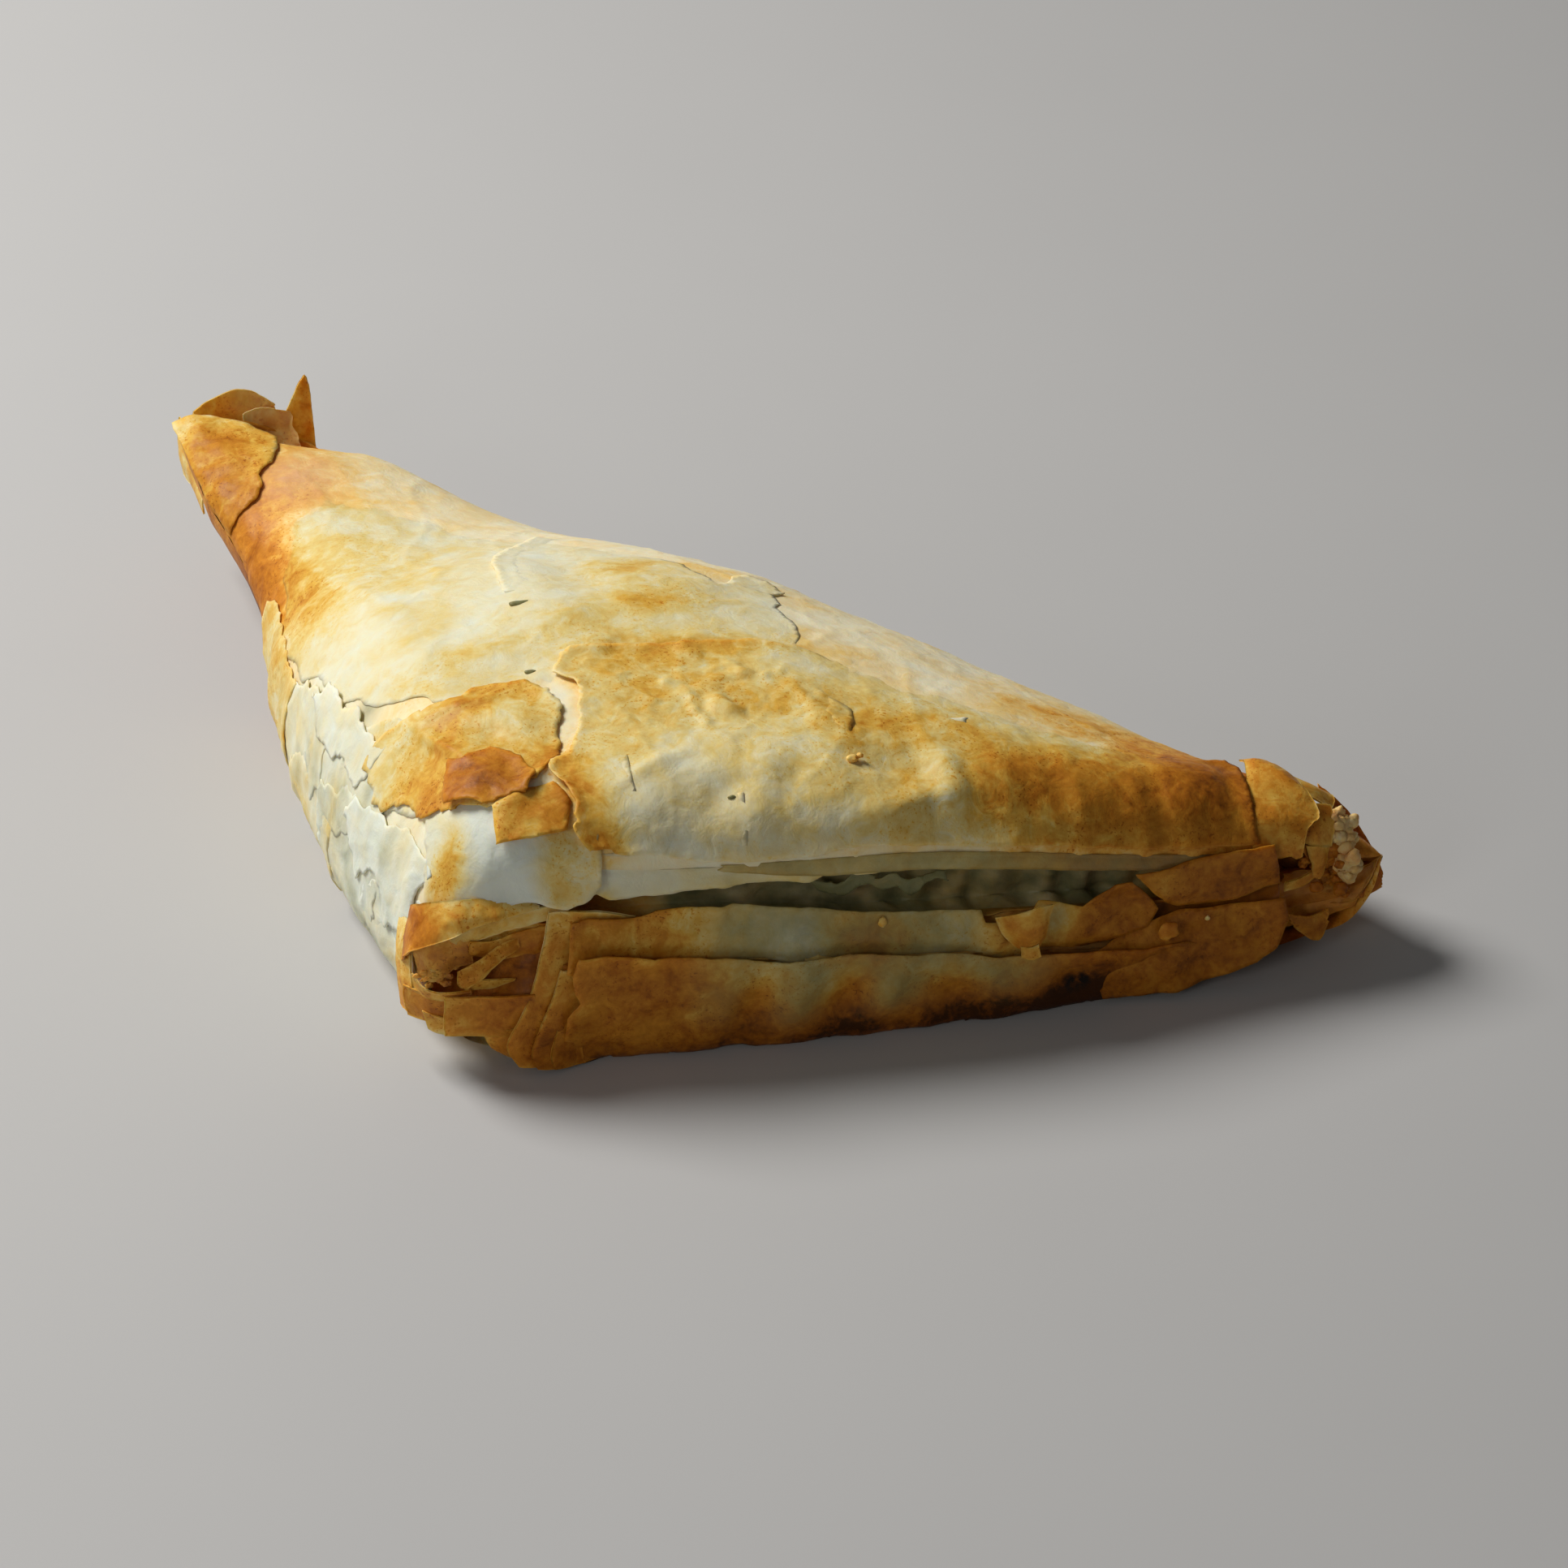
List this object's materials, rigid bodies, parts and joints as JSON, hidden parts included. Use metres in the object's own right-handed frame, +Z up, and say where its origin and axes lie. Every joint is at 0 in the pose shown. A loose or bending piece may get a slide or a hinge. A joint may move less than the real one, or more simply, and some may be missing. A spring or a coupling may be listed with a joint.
{
  "type": "filled pastry triangle",
  "caption": "Baked filo triangle filled with spinach and cheese, with an open layered front, flaky torn sheets and a raised folded tip.",
  "frame": {"origin": "middle of the bounding box at table height", "axes": "+Z up from the table, +X along the open layered front towards the pointed right corner, -Y out of the open front"},
  "size_m": [0.1464, 0.1446, 0.0397],
  "materials": {
    "baked_filo": "dry baked filo, cream to golden brown, slightly oily"
  },
  "bodies": {
    "root": {"spanakopita": "baked_filo"}
  },
  "joints": []
}
